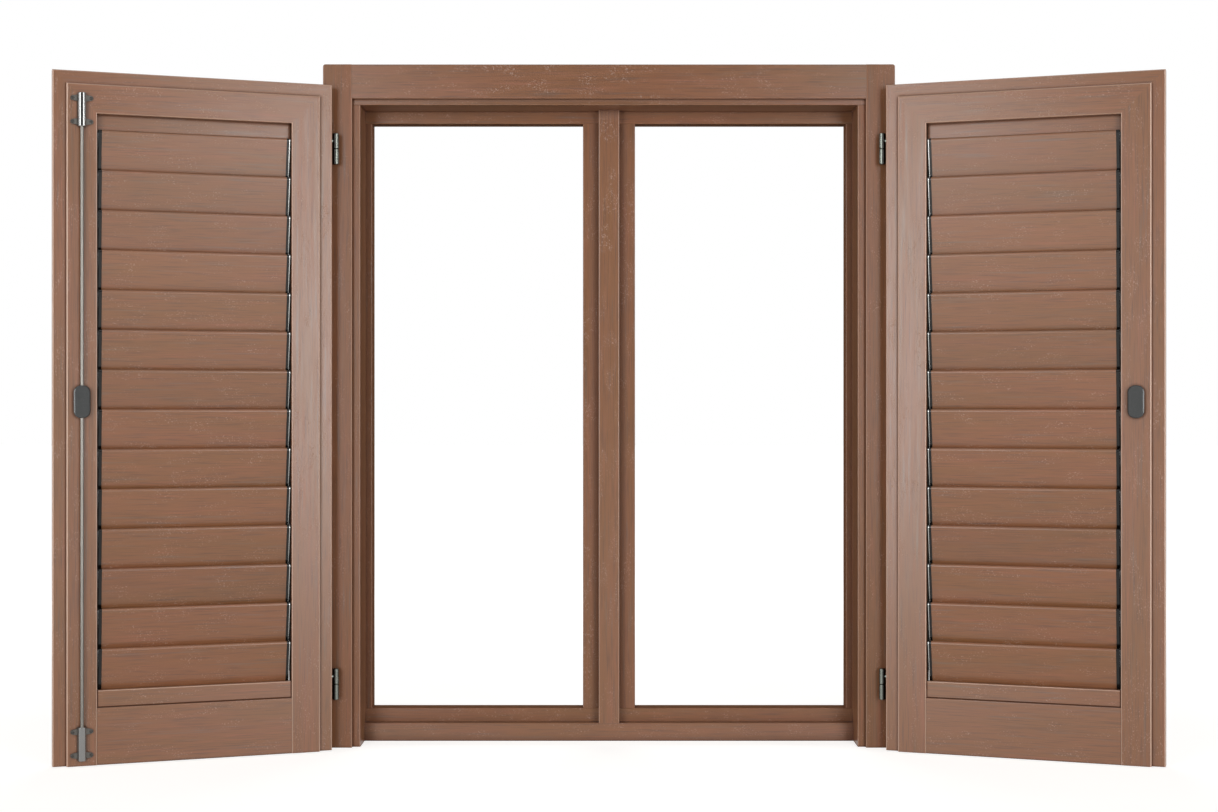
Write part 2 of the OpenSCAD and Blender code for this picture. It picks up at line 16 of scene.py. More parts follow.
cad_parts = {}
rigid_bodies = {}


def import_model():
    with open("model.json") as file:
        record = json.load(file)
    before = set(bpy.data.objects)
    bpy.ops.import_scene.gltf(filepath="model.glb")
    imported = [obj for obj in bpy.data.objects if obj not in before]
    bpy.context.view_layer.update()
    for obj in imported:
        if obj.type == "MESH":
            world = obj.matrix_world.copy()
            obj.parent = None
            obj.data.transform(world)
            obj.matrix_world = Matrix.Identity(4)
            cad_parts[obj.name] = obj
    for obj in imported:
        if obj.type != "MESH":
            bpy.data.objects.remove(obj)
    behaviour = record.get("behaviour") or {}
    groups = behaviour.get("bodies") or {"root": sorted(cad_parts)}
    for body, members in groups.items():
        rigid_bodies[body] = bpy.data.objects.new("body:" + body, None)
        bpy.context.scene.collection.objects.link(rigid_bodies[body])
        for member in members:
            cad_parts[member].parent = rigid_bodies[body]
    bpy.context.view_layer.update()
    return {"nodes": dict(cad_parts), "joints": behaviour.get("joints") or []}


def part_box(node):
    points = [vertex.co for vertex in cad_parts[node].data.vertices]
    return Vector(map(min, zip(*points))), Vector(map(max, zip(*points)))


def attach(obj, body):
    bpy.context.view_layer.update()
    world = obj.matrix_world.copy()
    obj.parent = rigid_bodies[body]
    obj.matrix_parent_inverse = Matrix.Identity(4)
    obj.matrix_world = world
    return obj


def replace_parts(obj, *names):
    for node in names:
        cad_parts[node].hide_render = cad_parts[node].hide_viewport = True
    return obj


for leftover in list(bpy.data.objects):
    bpy.data.objects.remove(leftover)
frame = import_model()
nodes = frame["nodes"]
joints = {joint["name"]: joint for joint in frame["joints"]}
MM = 0.001
SIDES = ("left", "right")

# %% [markdown]
# ## Camera
#
# The shutters are seen straight on, from the middle of their height, so upright lines stay upright. The
# leaves lean towards the viewer, and how fast their top edges spread apart gives the distance. A shorter lens
# from nearer by would show the same width, but would splay the leaves more.

# %% Camera
PHOTO_W = 1218
FOCAL_PX = 1900
SENSOR_MM = 36
casing_low, casing_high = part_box("casing_jamb_left")
EYE_DISTANCE = 3.984
eye = Vector((0, casing_low.y - EYE_DISTANCE, casing_high.z / 2))
bpy.ops.object.camera_add(location=eye, rotation=(math.pi / 2, 0, 0))
camera = bpy.context.object
camera.data.sensor_fit = "HORIZONTAL"
camera.data.sensor_width = SENSOR_MM
camera.data.lens = SENSOR_MM * FOCAL_PX / PHOTO_W
bpy.context.scene.camera = camera
bpy.context.scene.view_settings.view_transform = "Standard"
print("camera at", tuple(eye), "lens", round(camera.data.lens, 2), "mm")

# %% [markdown]
# ## Colours and nodes
#
# Colours are written as sRGB hex values, as a paint chart gives them, and the shader wants linear light.
# One function turns the first into the second, and one adds any node with its settings and links.


# %% Two helpers for every material
def linear(hex_colour):
    """A colour such as "#8a6350", as linear red, green, blue and alpha."""
    channels = [int(hex_colour[i:i + 2], 16) / 255 for i in (1, 3, 5)]
    return [c / 12.92 if c <= 0.04045 else ((c + 0.055) / 1.055) ** 2.4 for c in channels] + [1.0]


def add(tree, kind, inputs=(), **settings):
    """Adds a node, sets its properties, and sets or links its input sockets by name or number."""
    node = tree.nodes.new("ShaderNode" + kind)
    for name, value in settings.items():
        setattr(node, name, value)
    for socket, value in dict(inputs).items():
        if isinstance(value, bpy.types.NodeSocket):
            tree.links.new(value, node.inputs[socket])
        else:
            node.inputs[socket].default_value = value
    return node


# Sockets of a Mix node that mixes colours, and of one that mixes vectors
FACTOR, COLOUR_A, COLOUR_B, MIXED = 0, 6, 7, 2
VECTOR_A, VECTOR_B, MIXED_VECTOR = 4, 5, 1
print("white is", linear("#ffffff")[:3])

# %% [markdown]
# ## Floor, backdrop and lamps
#
# The shutters stand on white. Two tall softboxes from the front left and right light the leaves evenly, and
# each leaf mirrors the softbox across from it, which is what brightens the satin finish towards the hinges.
# Narrow strip lamps further out draw the bright lines on the steel and add a little to those on rounded edges,
# which on the timber are mostly painted highlights. As in a product studio, a dark card behind the viewer keeps
# the front faces' reflections deep, and two behind the window, one of them on the floor, do so for the reveals.

# %% Floor and white surroundings
FLOOR_SIZE = 60
FLOOR_GAP = 0.4 * MM
GLOW_NEAR = 0.74
GLOW_FAR = 1.0
SHADOW_REACH = (1.3, 3.2)
FILL_LIGHT = 0.12


def seen_directly(tree):
    """1 for rays that show the surroundings to the eye: straight, in a mirror finish or through glass."""
    ray = add(tree, "LightPath").outputs
    straight_or_mirror = add(tree, "Math", {0: ray["Is Camera Ray"], 1: ray["Is Glossy Ray"]},
                             operation="MAXIMUM").outputs[0]
    return add(tree, "Math", {0: straight_or_mirror, 1: ray["Is Transmission Ray"]},
               operation="MAXIMUM").outputs[0]


bpy.ops.mesh.primitive_plane_add(size=FLOOR_SIZE, location=(0, 0, -FLOOR_GAP))
floor = bpy.context.object
floor.name = "floor"
# Matt studio paper: pale and without any shine
floor_paper = bpy.data.materials.new("white_paper_floor")
floor_paper.use_nodes = True
paper = floor_paper.node_tree
paper_shader = paper.nodes["Principled BSDF"]
paper_shader.inputs["Base Color"].default_value = linear("#c4c2bd")
paper_shader.inputs["Roughness"].default_value = 0.9
paper_shader.inputs["Specular IOR Level"].default_value = 0
paper_shader.inputs["Emission Color"].default_value = linear("#ffffff")
# Near the shutters the paper glows a little less, so that their shadow still shows on it
spot = add(paper, "TexCoord").outputs["Object"]
away = add(paper, "VectorMath", {0: spot}, operation="LENGTH").outputs["Value"]
paleness = add(paper, "MapRange", {"Value": away, "From Min": SHADOW_REACH[0], "From Max": SHADOW_REACH[1],
                                   "To Min": GLOW_NEAR, "To Max": GLOW_FAR}).outputs[0]
glow = add(paper, "Math", {0: seen_directly(paper), 1: paleness}, operation="MULTIPLY")
paper.links.new(glow.outputs[0], paper_shader.inputs["Emission Strength"])
floor.data.materials.append(floor_paper)

world = bpy.data.worlds.new("white_studio")
bpy.context.scene.world = world
world.use_nodes = True
sky = world.node_tree
background = sky.nodes["Background"]
background.inputs["Color"].default_value = linear("#ffffff")
level = add(sky, "MapRange", {"Value": seen_directly(sky), "To Min": FILL_LIGHT, "To Max": 1.0})
sky.links.new(level.outputs[0], background.inputs["Strength"])
print("floor and surroundings are white, fill light", FILL_LIGHT)

# %% Softboxes, strip lamps and dark cards
AIM = Vector((0, -0.15, 0.74))


def softbox(name, place, width, height, watts):
    """A rectangular lamp that faces the shutters."""
    bpy.ops.object.light_add(type="AREA", location=place)
    lamp = bpy.context.object
    lamp.name = name
    lamp.data.shape = "RECTANGLE"
    lamp.data.size = width
    lamp.data.size_y = height
    lamp.data.energy = watts
    lamp.rotation_euler = (AIM - Vector(place)).to_track_quat("-Z", "Y").to_euler()
    lamp.visible_camera = False
    return lamp


for way in (-1, 1):
    softbox("side_softbox", (way * 1.92, -4.0, 1.12), 1.4, 2.22, 64)
    softbox("strip_lamp", (way * 3.4, -1.25, 1.0), 0.22, 2.0, 20)
softbox("top_softbox", (0, -2.2, 3.6), 3.0, 1.2, 12)
# The back gets its own lamp, kept out of reflections so that the sills stay dark when seen from the front
softbox("back_softbox", (0, 3.1, 2.3), 2.8, 1.4, 55).visible_glossy = False

# Dull card, dyed through: dark wherever it is mirrored
charcoal = bpy.data.materials.new("charcoal_card")
charcoal.use_nodes = True
card_shader = charcoal.node_tree.nodes["Principled BSDF"]
card_shader.inputs["Base Color"].default_value = linear("#2b2a29")
card_shader.inputs["Roughness"].default_value = 1.0


def dark_card(name, place, width, height, tilt=math.pi / 2):
    """A card across the view, upright or lying down, that shows in reflections only."""
    bpy.ops.mesh.primitive_plane_add(size=1, location=place, rotation=(tilt, 0, 0))
    card = bpy.context.object
    card.name = name
    card.scale = (width, height, 1)
    card.visible_camera = False
    card.visible_diffuse = False
    card.visible_transmission = False
    card.visible_shadow = False
    card.data.materials.append(charcoal)


dark_card("front_card", (0, -6.5, 1.5), 4.4, 5)
dark_card("back_card", (0, 0.9, 0.9), 2.4, 2.2)
dark_card("floor_card", (0, 0.5, FLOOR_GAP), 2.4, 0.8, tilt=0)

# %% [markdown]
# ## Stained timber
#
# Every member shows the same satin brown stain over fine, straight grain: thin streaks that lean to orange or
# to grey, dark fibres, and clusters of tiny raised specks, painted pale as glints. Inner corners get painted
# shade and many arrises painted highlights. An image of wood would give one board; noise that is stretched
# along the grain gives every member its own. Its cells are sized in millimetres, long with the grain and narrow
# across it, and a Mapping node turns it with the leaf.

# %% Stained timber
LEAF_TURN = {}
for side in SIDES:
    axis = Vector(joints[f"{side}_slat_01_tilt"]["axis"])
    LEAF_TURN[side] = math.atan2(axis.y, axis.x)
STAIN = "#895a3a"
STAIN_ORANGE = "#935d40"
STAIN_GREY = "#80604c"
STAIN_DARK = "#664636"
# Warm dark brown of the painted shade in corners and along joints
PAINTED_SHADE_BROWN = "#4c260d"
# Pale colour of the painted highlight on arrises
ARRIS_HIGHLIGHT_COLOUR = "#c8a691"
# Pale colour of the painted glints on raised specks
SPECK_GLINT_COLOUR = "#b8937f"
OLIVE_CAST = (1.0, 1.03, 0.96, 1.0)
ROSY_CAST = (1.0, 0.98, 1.04, 1.0)
LEAF_REACH = 7 * MM
WINDOW_REACH = 26 * MM
JOINT_SHOW = 2.4 * MM
CASING_TINT = 0.87
LEAF_TINT = 0.95
WINDOW_TINT = 0.95
JAMB_GLOSS = 0.4
LIGHT_GLOSS = 0.5
SATIN = 0.7


def stained_timber(name, along, turn=0.0, gloss=SATIN, tint=1.0, reach=LEAF_REACH, arris_highlight=0.0, slats=False,
                   rails=None, let_in=None):
    """Oiled and stained hardwood with a satin sprayed coat: soft sheen, fine grain along x or z.

    turn is the leaf's angle about z, gloss the coat's specular level, tint scales the stain's brightness,
    reach is how far painted shade reaches out of an inner corner, the strength after it is how pale the arrises
    along the grain are painted as a highlight, slats gives each slat its own tone, rails are the heights of a
    frame's lower and upper rail, between which its members stand upright, and let_in is the start, the end and
    the foot of a member that gets a painted shade line along its joints there.
    """
    material = bpy.data.materials.new(name)
    material.use_nodes = True
    tree = material.node_tree
    shader = tree.nodes["Principled BSDF"]
    shader.inputs["Specular IOR Level"].default_value = gloss
    place = add(tree, "TexCoord").outputs["Object"]
    place = add(tree, "Mapping", {"Vector": place, "Rotation": (0, 0, -turn)}).outputs[0]
    if rails:
        foot, top = rails
        height = add(tree, "SeparateXYZ", {0: place}).outputs["Z"]
        standing = add(tree, "Math", {0: height, 1: (foot + top) / 2, 2: (top - foot) / 2},
                       operation="COMPARE").outputs[0]

    def grain(long_mm, cross_mm, **inputs):
        """Noise in cells of long_mm along the grain and cross_mm across it."""
        long_scale, cross_scale = 1 / (long_mm * MM), 1 / (cross_mm * MM)
        across = (long_scale, cross_scale, cross_scale)
        upright = (cross_scale, cross_scale, long_scale)
        stretch = across if along == "x" else upright
        stretched = add(tree, "VectorMath", {0: place, 1: stretch}, operation="MULTIPLY").outputs[0]
        if rails:
            laid = add(tree, "VectorMath", {0: place, 1: across}, operation="MULTIPLY").outputs[0]
            stretched = add(tree, "Mix", {FACTOR: standing, VECTOR_A: laid, VECTOR_B: stretched},
                            data_type="VECTOR").outputs[MIXED_VECTOR]
        return add(tree, "TexNoise", {"Vector": stretched, "Scale": 1.0, **inputs}).outputs["Fac"]

    drift = grain(420, 45, Detail=2.0)
    streaks = grain(170, 5.5, Detail=4.0, Roughness=0.6)
    fibres = grain(64, 1.7, Detail=2.0)
    specks = grain(3.6, 2.2, Detail=1.0)
    clusters = grain(60, 24, Detail=1.0)

    # Thin grey and orange streaks either side of the stain's own colour
    ramp = add(tree, "ValToRGB", {"Fac": streaks})
    stops = ramp.color_ramp.elements
    stops[0].position, stops[0].color = 0.30, linear(STAIN_GREY)
    stops[1].position, stops[1].color = 0.72, linear(STAIN_ORANGE)
    for position in (0.43, 0.56):
        stops.new(position).color = linear(STAIN)
    colour = ramp.outputs["Color"]

    # Fine dark fibres, and a slow drift of the stain between olive and rosy brown
    dark = add(tree, "MapRange", {"Value": fibres, "From Min": 0.5, "From Max": 0.72,
                                  "To Max": 0.65}).outputs[0]
    colour = add(tree, "Mix", {FACTOR: dark, COLOUR_A: colour, COLOUR_B: linear(STAIN_DARK)},
                 data_type="RGBA").outputs[MIXED]
    wander = add(tree, "MapRange", {"Value": drift, "From Min": 0.35, "From Max": 0.65}).outputs[0]
    cast = add(tree, "Mix", {FACTOR: wander, COLOUR_A: OLIVE_CAST, COLOUR_B: ROSY_CAST},
               data_type="RGBA").outputs[MIXED]
    colour = add(tree, "VectorMath", {0: colour, 1: cast}, operation="MULTIPLY").outputs[0]

    # Specks of raised grain stand in loose clusters and are painted pale as glints
    raised = add(tree, "MapRange", {"Value": specks, "From Min": 0.6, "From Max": 0.72}).outputs[0]
    there = add(tree, "MapRange", {"Value": clusters, "From Min": 0.5, "From Max": 0.62}).outputs[0]
    speckled = add(tree, "Math", {0: raised, 1: there}, operation="MULTIPLY").outputs[0]
    speck_glint = add(tree, "Math", {0: speckled, 1: 0.48}, operation="MULTIPLY").outputs[0]
    colour = add(tree, "Mix", {FACTOR: speck_glint, COLOUR_A: colour, COLOUR_B: linear(SPECK_GLINT_COLOUR)},
                 data_type="RGBA").outputs[MIXED]

    # How deep the stain is: by the drift, and from slat to slat
    depth = add(tree, "MapRange", {"Value": drift, "From Min": 0.25, "From Max": 0.75, "To Min": 0.93 * tint,
                                   "To Max": 1.07 * tint}).outputs[0]
    if slats:
        number = add(tree, "Attribute", attribute_name="slat_number").outputs["Fac"]
        chance = add(tree, "TexWhiteNoise", {"W": number}, noise_dimensions="1D").outputs["Value"]
        tone = add(tree, "MapRange", {"Value": chance, "To Min": 0.93, "To Max": 1.07}).outputs[0]
        depth = add(tree, "Math", {0: depth, 1: tone}, operation="MULTIPLY").outputs[0]
    colour = add(tree, "VectorMath", {0: colour, "Scale": depth}, operation="SCALE").outputs[0]

    # Painted shade: inner corners, found by ambient occlusion within reach, are darkened to a warm dark brown
    open_air = add(tree, "AmbientOcclusion", {"Distance": reach}, samples=8).outputs["AO"]
    painted_shade = add(tree, "MapRange", {"Value": open_air, "From Min": 0.35, "From Max": 0.95, "To Min": 0.92,
                                    "To Max": 0.0}).outputs[0]
    if rails:
        share = add(tree, "MapRange", {"Value": standing, "To Min": 0.3, "To Max": 1.0}).outputs[0]
        painted_shade = add(tree, "Math", {0: painted_shade, 1: share}, operation="MULTIPLY").outputs[0]
    colour = add(tree, "Mix", {FACTOR: painted_shade, COLOUR_A: colour, COLOUR_B: linear(PAINTED_SHADE_BROWN)},
                 data_type="RGBA").outputs[MIXED]
    # Painted highlight: the round arrises along the grain, where the surface faces neither way squarely, are
    # painted pale
    if arris_highlight:
        facing = add(tree, "TexCoord").outputs["Normal"]
        facing = add(tree, "Mapping", {"Vector": facing, "Rotation": (0, 0, -turn)}).outputs[0]
        ways = add(tree, "SeparateXYZ", {0: facing}).outputs
        arris = add(tree, "Math", {0: ways["Y"], 1: ways["Z" if along == "x" else "X"]},
                    operation="MULTIPLY").outputs[0]
        arris = add(tree, "Math", {0: arris}, operation="ABSOLUTE").outputs[0]
        highlit_arris = add(tree, "MapRange", {"Value": arris, "From Min": 0.02, "From Max": 0.22,
                                      "To Max": arris_highlight}).outputs[0]
        colour = add(tree, "Mix", {FACTOR: highlit_arris, COLOUR_A: colour, COLOUR_B: linear(ARRIS_HIGHLIGHT_COLOUR)},
                     data_type="RGBA").outputs[MIXED]
    # Painted shade: a dark brown band round the ends and the foot of a member that is let in, along its joints
    if let_in:
        start, end, foot = let_in
        where = add(tree, "SeparateXYZ", {0: place}).outputs
        inside = add(tree, "Math", {0: where["X"], 1: (start + end) / 2, 2: (end - start) / 2 - JOINT_SHOW},
                     operation="COMPARE").outputs[0]
        above = add(tree, "Math", {0: where["Z"], 1: foot + JOINT_SHOW}, operation="GREATER_THAN").outputs[0]
        clear = add(tree, "Math", {0: inside, 1: above}, operation="MULTIPLY").outputs[0]
        colour = add(tree, "Mix", {FACTOR: clear, COLOUR_A: linear(PAINTED_SHADE_BROWN), COLOUR_B: colour},
                     data_type="RGBA").outputs[MIXED]
        joint_shade = add(tree, "Math", {0: 1.0, 1: clear}, operation="SUBTRACT").outputs[0]
        painted_shade = add(tree, "Math", {0: painted_shade, 1: joint_shade}, operation="MAXIMUM").outputs[0]
    tree.links.new(colour, shader.inputs["Base Color"])

    relief = add(tree, "Math", {0: fibres, 1: 0.35, 2: speckled}, operation="MULTIPLY_ADD").outputs[0]
    bump = add(tree, "Bump", {"Height": relief, "Strength": 0.45, "Distance": 0.4 * MM})
    tree.links.new(bump.outputs[0], shader.inputs["Normal"])
    # Satin along the streaks, and dull where shade is painted in corners and joints
    sheen = add(tree, "MapRange", {"Value": streaks, "From Min": 0.3, "From Max": 0.7, "To Min": 0.28,
                                   "To Max": 0.36}).outputs[0]
    sheen = add(tree, "Math", {0: painted_shade, 1: 0.6, 2: sheen}, operation="MULTIPLY_ADD").outputs[0]
    tree.links.new(sheen, shader.inputs["Roughness"])
    return material


print("leaf turn", {side: round(math.degrees(turn), 2) for side, turn in LEAF_TURN.items()}, "degrees")

# %% [markdown]
# ## Timber on the members
#
# The grain runs along each member, so uprights and cross members get a material each, and each leaf its own
# set, turned with it. The arrises along the grain of most members get a painted highlight, the kick rail's
# don't, and the filler below the slats is let in, with a line of painted shade along its joints. A finish goes
# into the slots that the solids came with, because that keeps their meshes as they are.


# %% Timber on the members
def finish(material, *names):
    """Gives CAD nodes their finish, in the slots that they came with."""
    for name in names:
        for slot in nodes[name].material_slots:
            slot.material = material


def let_in_edges(name, turn):
    """Start, end and foot of a leaf's member, measured along the leaf."""
    along_leaf = Matrix.Rotation(-turn, 3, "Z")
    corners = [along_leaf @ vertex.co for vertex in nodes[name].data.vertices]
    lengths = [corner.x for corner in corners]
    return min(lengths), max(lengths), min(corner.z for corner in corners)


# How strongly the arrises of each kind of member are painted as highlights
FRAME_ARRIS_HIGHLIGHT = 0.35
RAIL_ARRIS_HIGHLIGHT = 0.4
FILLER_ARRIS_HIGHLIGHT = 0.7
STILE_ARRIS_HIGHLIGHT = 0.8
WINDOW = {"tint": WINDOW_TINT, "reach": WINDOW_REACH}
finish(stained_timber("casing_timber_upright", "z", gloss=JAMB_GLOSS, tint=CASING_TINT, arris_highlight=FRAME_ARRIS_HIGHLIGHT),
       "casing_jamb_left", "casing_jamb_right")
finish(stained_timber("casing_timber_across", "x", tint=CASING_TINT), "casing_head")
finish(stained_timber("window_timber_upright", "z", arris_highlight=FRAME_ARRIS_HIGHLIGHT, **WINDOW), "window_posts", "mullion")
finish(stained_timber("window_timber_across", "x", **WINDOW), "window_head", "window_bottom_rail")
LIGHT_SHOW_BOTTOM = 28 * MM
LIGHT_SHOW_HEAD = 25 * MM
light_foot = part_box("window_bottom_rail")[1].z + LIGHT_SHOW_BOTTOM
light_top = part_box("window_head")[0].z - LIGHT_SHOW_HEAD
finish(stained_timber("light_frame_timber", "z", gloss=LIGHT_GLOSS, rails=(light_foot, light_top), **WINDOW),
       "left_light_frame", "right_light_frame")
for side in SIDES:
    leaf = {"turn": LEAF_TURN[side], "tint": LEAF_TINT}
    finish(stained_timber(f"{side}_leaf_timber_upright", "z", arris_highlight=STILE_ARRIS_HIGHLIGHT, **leaf),
           f"{side}_hinge_stile", f"{side}_meeting_stile")
    finish(stained_timber(f"{side}_leaf_timber_across", "x", arris_highlight=RAIL_ARRIS_HIGHLIGHT, **leaf),
           f"{side}_top_rail", f"{side}_top_filler")
    finish(stained_timber(f"{side}_kick_timber", "x", **leaf), f"{side}_bottom_rail")
    edges = let_in_edges(f"{side}_bottom_filler", LEAF_TURN[side])
    finish(stained_timber(f"{side}_filler_timber", "x", arris_highlight=FILLER_ARRIS_HIGHLIGHT, let_in=edges, **leaf),
           f"{side}_bottom_filler")
print("timbers", [material.name for material in bpy.data.materials if "timber" in material.name])

# %% [markdown]
# ## Metals, plastic and coatings
#
# The ironmongery is small but gives the scale: dark rolled hinge barrels, bright pressed guides on gunmetal
# plates, a drawn steel rod and powder-coated grips. All of these are one shader with different numbers, over
# a fine noise that breaks the gloss, so one function makes them. The noise is stretched where the metal was
# drawn. Real grit is finer than a picture can show, so its cells are drawn coarser than they are.


# %% Worked surfaces
def worked_surface(name, hex_colour, metallic, roughness, cell_mm, unevenness, relief_mm=0.0, drawn=1.0,
                   gloss=0.5, highlight_side=None):
    """A metal, plastic or coating, with uneven roughness and colour in cells of cell_mm.

    The cells are longer by drawn along z, relief_mm is how far they stand out, gloss is the specular level, and
    the last argument is the colour of a painted highlight on the side that faces the window's middle.
    """
    material = bpy.data.materials.new(name)
    material.use_nodes = True
    tree = material.node_tree
    shader = tree.nodes["Principled BSDF"]
    shader.inputs["Metallic"].default_value = metallic
    shader.inputs["Specular IOR Level"].default_value = gloss
    cell = 1 / (cell_mm * MM)
    place = add(tree, "Mapping", {"Vector": add(tree, "TexCoord").outputs["Object"],
                                  "Scale": (cell, cell, cell / drawn)}).outputs[0]
    grit = add(tree, "TexNoise", {"Vector": place, "Scale": 1.0, "Detail": 3.0}).outputs["Fac"]
    polish = add(tree, "MapRange", {"Value": grit, "From Min": 0.3, "From Max": 0.7,
                                    "To Min": roughness * (1 - unevenness),
                                    "To Max": roughness * (1 + unevenness)}).outputs[0]
    tree.links.new(polish, shader.inputs["Roughness"])
    depth = add(tree, "MapRange", {"Value": grit, "From Min": 0.3, "From Max": 0.7,
                                   "To Min": 1 - unevenness / 2, "To Max": 1 + unevenness / 2}).outputs[0]
    colour = add(tree, "VectorMath", {0: linear(hex_colour)[:3], "Scale": depth},
                 operation="SCALE").outputs[0]
    # Painted highlight on the half that faces the window's middle
    if highlight_side:
        facing = add(tree, "SeparateXYZ", {0: add(tree, "TexCoord").outputs["Normal"]}).outputs["X"]
        across = add(tree, "SeparateXYZ", {0: add(tree, "TexCoord").outputs["Object"]}).outputs["X"]
        half = add(tree, "Math", {0: across}, operation="SIGN").outputs[0]
        outward = add(tree, "Math", {0: facing, 1: half}, operation="MULTIPLY").outputs[0]
        painted_half = add(tree, "MapRange", {"Value": outward, "From Min": 0.0, "From Max": -0.2}).outputs[0]
        colour = add(tree, "Mix", {FACTOR: painted_half, COLOUR_A: colour, COLOUR_B: linear(highlight_side)},
                     data_type="RGBA").outputs[MIXED]
    tree.links.new(colour, shader.inputs["Base Color"])
    if relief_mm:
        bump = add(tree, "Bump", {"Height": grit, "Strength": 1.0, "Distance": relief_mm * MM})
        tree.links.new(bump.outputs[0], shader.inputs["Normal"])
    return material


# Rolled steel, blackened, with a painted highlight on the side that faces the window: half of each barrel dark,
# half a pale line
hinge_steel = worked_surface("blackened_hinge_steel", "#2e2d2b", 1.0, 0.26, 6, 0.03, drawn=8,
                             highlight_side="#70736d")
# Pressed and polished sheet steel: near black between two white lines
guide_steel = worked_surface("polished_guide_steel", "#868685", 1.0, 0.12, 3, 0.05, drawn=12)
# Sheet steel under a gunmetal coat: an even dark grey
plate_steel = worked_surface("gunmetal_plate", "#5c5955", 1.0, 0.42, 1.2, 0.15, 0.01)
# Drawn bright steel, wiped with oil: soft lines along the rod
rod_steel = worked_surface("drawn_rod_steel", "#75726d", 1.0, 0.34, 0.8, 0.2, drawn=40)
# Cold rolled strip: pale grey with a dull shine
tie_steel = worked_surface("cold_rolled_strip", "#9b9893", 1.0, 0.38, 1.0, 0.2, drawn=30)
# Zinc-plated sheet: bright where it looks out of the gap, dark deeper down
crank_steel = worked_surface("zinc_plated_sheet", "#c3c4c2", 1.0, 0.22, 2.0, 0.08)
# Zinc screw, blackened: darker than the plate that it holds
screw_steel = worked_surface("blackened_screw_steel", "#4a4845", 1.0, 0.35, 0.6, 0.2)
# Die-cast zinc under charcoal powder coat: matt, with a fine orange-peel
grip_coat = worked_surface("charcoal_powder_coat", "#363838", 0.0, 0.26, 0.9, 0.1, 0.005)
# Moulded black ABS: a soft gloss along the rounded edges
cap_plastic = worked_surface("moulded_black_abs", "#12110f", 0.0, 0.15, 1.8, 0.1, gloss=0.35)
# Extruded soft PVC: matt black, so that the gap beside the caps stays dark
seal_plastic = worked_surface("extruded_black_pvc", "#100f0d", 0.0, 0.7, 2.5, 0.1, 0.01, gloss=0.1)

finish(hinge_steel, "hinge_posts", "left_hinge_knuckles", "right_hinge_knuckles")
finish(rod_steel, "bolt_rod")
finish(tie_steel, "left_tie_bar", "right_tie_bar")
finish(seal_plastic, "left_pivot_strips", "right_pivot_strips")
for name in ("hinge_posts", "bolt_rod", "left_tie_bar", "left_pivot_strips"):
    print(name, "is", nodes[name].material_slots[0].material.name)

# %% [markdown]
# ## Modelling on a leaf
#
# New pieces are modelled upright at the origin, facing -y, and then set on their leaf in one step. Most of
# their sizes are measured on the solids, along the leaf, out from its face and up, so that they can't drift
# apart.
# Edges and faces are picked by a test on their place, as a hand would pick them by eye.

# %% Leaf directions and picking
UP = Vector((0, 0, 1))
ALONG = {side: Vector((math.cos(LEAF_TURN[side]), math.sin(LEAF_TURN[side]), 0)) for side in SIDES}
OUT = {side: Vector((math.sin(LEAF_TURN[side]), -math.cos(LEAF_TURN[side]), 0)) for side in SIDES}
HINGE_WAY = {"left": 1, "right": -1}
# Slack in tests on a place
HAIR = 0.01 * MM


def measure(node, side):
    """Middle of a node in the shared frame, and its size along its leaf, out from the leaf's face, and up."""
    middle, size = Vector(), []
    for direction in (ALONG[side], OUT[side], UP):
        places = [direction.dot(vertex.co) for vertex in nodes[node].data.vertices]
        middle += direction * (min(places) + max(places)) / 2
        size.append(max(places) - min(places))
    return middle, size


def block(name, size):
    """Starts a piece as a block of that size, in edit mode, with nothing selected."""
    if bpy.context.object and bpy.context.object.mode == "EDIT":
        bpy.ops.object.mode_set(mode="OBJECT")
    bpy.ops.object.select_all(action="DESELECT")
    bpy.ops.mesh.primitive_cube_add(size=1)
    piece = bpy.context.object
    piece.name = name
    piece.scale = size
    bpy.ops.object.transform_apply(scale=True)
    bpy.ops.object.mode_set(mode="EDIT")
    bpy.ops.mesh.select_all(action="DESELECT")
    return piece


def pick(piece, kind, test):
    """Selects the piece's edges or faces that pass the test, and nothing else."""
    bpy.ops.object.mode_set(mode="OBJECT")
    bpy.context.tool_settings.mesh_select_mode = (False, kind == "edges", kind == "faces")
    mesh = piece.data
    for part in (mesh.vertices, mesh.edges, mesh.polygons):
        part.foreach_set("select", [False] * len(part))
    if kind == "edges":
        for edge in mesh.edges:
            edge.select = test(*[mesh.vertices[i].co for i in edge.vertices])
    else:
        for face in mesh.polygons:
            face.select = test(face.center, face.normal)
    bpy.ops.object.mode_set(mode="EDIT")


def settle(piece, place, material, body, crisp=35):
    """Leaves edit mode, smooths all but crisp edges, puts the piece in its place and sends it with its body.

    The shading is weighted by the size of the faces, so that flat faces stay flat beside their small bevels.
    """
    if bpy.context.object.mode == "EDIT":
        bpy.ops.object.mode_set(mode="OBJECT")
    bpy.ops.object.select_all(action="DESELECT")
    piece.select_set(True)
    bpy.context.view_layer.objects.active = piece
    bpy.ops.object.shade_smooth_by_angle(angle=math.radians(crisp))
    even = piece.modifiers.new("even_shading", "WEIGHTED_NORMAL")
    even.keep_sharp = True
    bpy.ops.object.modifier_apply(modifier=even.name)
    piece.data.transform(place)
    piece.data.materials.clear()
    piece.data.materials.append(material)
    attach(piece, body)
    return piece


def on_leaf(side, middle):
    """Matrix that turns a piece with its leaf and sets it at middle."""
    return Matrix.Translation(middle) @ Matrix.Rotation(LEAF_TURN[side], 4, "Z")


def cut_away(piece, cutter):
    """Cuts the cutter's shape out of a piece, and removes the cutter."""
    bpy.context.view_layer.objects.active = piece
    cut = piece.modifiers.new(cutter.name, "BOOLEAN")
    cut.operation = "DIFFERENCE"
    cut.solver = "EXACT"
    cut.object = cutter
    bpy.ops.object.modifier_apply(modifier=cut.name)
    bpy.data.objects.remove(cutter)


